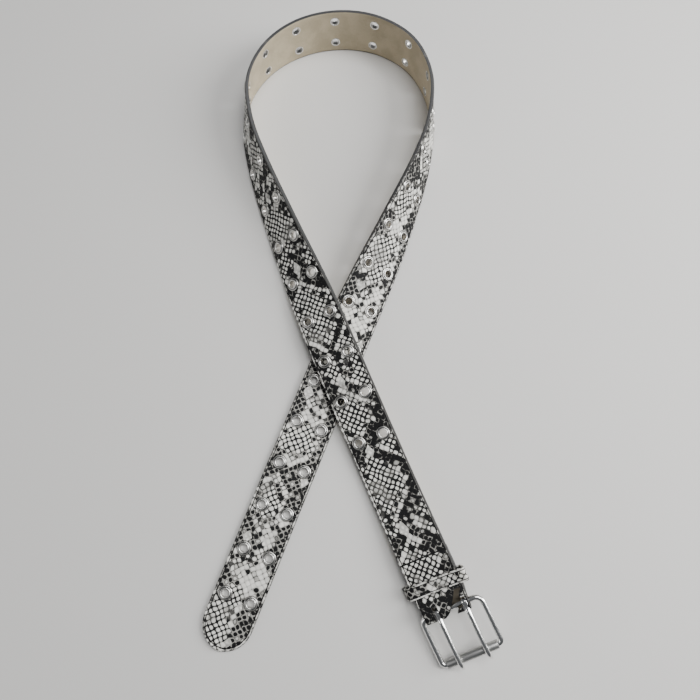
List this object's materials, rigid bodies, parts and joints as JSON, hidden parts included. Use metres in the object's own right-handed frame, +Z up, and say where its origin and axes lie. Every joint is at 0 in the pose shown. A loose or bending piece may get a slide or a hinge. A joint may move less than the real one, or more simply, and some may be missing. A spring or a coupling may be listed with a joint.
{
  "type": "snake print belt",
  "caption": "Snake print strap belt with two rows of metal eyelets, roller buckle with two prongs and a keeper loop, laid crossed in a ribbon shape.",
  "frame": {"origin": "middle of the footprint, on the surface that the belt lies on", "axes": "+Y from the buckle and tip towards the top of the loop, +Z up, +X towards the buckle's side"},
  "size_m": [0.2296, 0.545, 0.0402],
  "materials": {
    "printed_strap": "imitation leather, black, grey and off-white snake print, satin",
    "printed_keeper": "imitation leather, snake print, satin",
    "lining": "plain tan backing, matt",
    "edge_paint": "dark edge paint, satin",
    "polished_steel": "polished plated wire",
    "dull_steel": "satin plated tube",
    "eyelet_steel": "polished plated eyelet"
  },
  "bodies": {
    "strap": {"strap": "printed_strap", "keeper": "printed_keeper", "eyelet_01a": "eyelet_steel", "eyelet_01b": "eyelet_steel", "eyelet_02a": "eyelet_steel", "eyelet_02b": "eyelet_steel", "eyelet_03a": "eyelet_steel", "eyelet_03b": "eyelet_steel", "eyelet_04a": "eyelet_steel", "eyelet_04b": "eyelet_steel", "eyelet_05a": "eyelet_steel", "eyelet_05b": "eyelet_steel", "eyelet_06a": "eyelet_steel", "eyelet_06b": "eyelet_steel", "eyelet_08a": "eyelet_steel", "eyelet_08b": "eyelet_steel", "eyelet_09a": "eyelet_steel", "eyelet_09b": "eyelet_steel", "eyelet_10a": "eyelet_steel", "eyelet_10b": "eyelet_steel", "eyelet_11a": "eyelet_steel", "eyelet_11b": "eyelet_steel", "eyelet_12a": "eyelet_steel", "eyelet_12b": "eyelet_steel", "eyelet_13a": "eyelet_steel", "eyelet_13b": "eyelet_steel", "eyelet_14a": "eyelet_steel", "eyelet_14b": "eyelet_steel", "eyelet_15a": "eyelet_steel", "eyelet_15b": "eyelet_steel", "eyelet_16a": "eyelet_steel", "eyelet_16b": "eyelet_steel", "eyelet_17a": "eyelet_steel", "eyelet_17b": "eyelet_steel", "eyelet_18a": "eyelet_steel", "eyelet_18b": "eyelet_steel", "eyelet_19a": "eyelet_steel", "eyelet_19b": "eyelet_steel", "eyelet_20a": "eyelet_steel", "eyelet_20b": "eyelet_steel", "eyelet_21a": "eyelet_steel", "eyelet_21b": "eyelet_steel", "eyelet_22a": "eyelet_steel", "eyelet_22b": "eyelet_steel", "eyelet_23a": "eyelet_steel", "eyelet_23b": "eyelet_steel", "eyelet_24a": "eyelet_steel", "eyelet_24b": "eyelet_steel", "eyelet_25a": "eyelet_steel", "eyelet_25b": "eyelet_steel", "eyelet_26a": "eyelet_steel", "eyelet_26b": "eyelet_steel", "eyelet_28a": "eyelet_steel", "eyelet_28b": "eyelet_steel", "eyelet_29a": "eyelet_steel", "eyelet_29b": "eyelet_steel"},
    "buckle": {"buckle_frame": "polished_steel"},
    "roller": {"roller": "dull_steel"},
    "prong_left": {"prong_left": "polished_steel"},
    "prong_right": {"prong_right": "polished_steel"}
  },
  "joints": [
    {"name": "buckle_hinge", "type": "hinge", "parent": "strap", "child": "buckle", "pos_m": [0.07477, -0.22661, 0.01117], "axis": [-0.8874, -0.4116, -0.2078], "range_deg": [0, 45]},
    {"name": "roller_spin", "type": "hinge", "parent": "buckle", "child": "roller", "pos_m": [0.09101, -0.26031, 0.00858], "axis": [0.8874, 0.4116, 0.2078], "continuous": true},
    {"name": "prong_left_hinge", "type": "hinge", "parent": "buckle", "child": "prong_left", "pos_m": [0.06519, -0.23106, 0.00892], "axis": [-0.8874, -0.4116, -0.2078], "range_deg": [0, 50]},
    {"name": "prong_right_hinge", "type": "hinge", "parent": "buckle", "child": "prong_right", "pos_m": [0.08524, -0.22176, 0.01362], "axis": [-0.8874, -0.4116, -0.2078], "range_deg": [0, 50]}
  ]
}
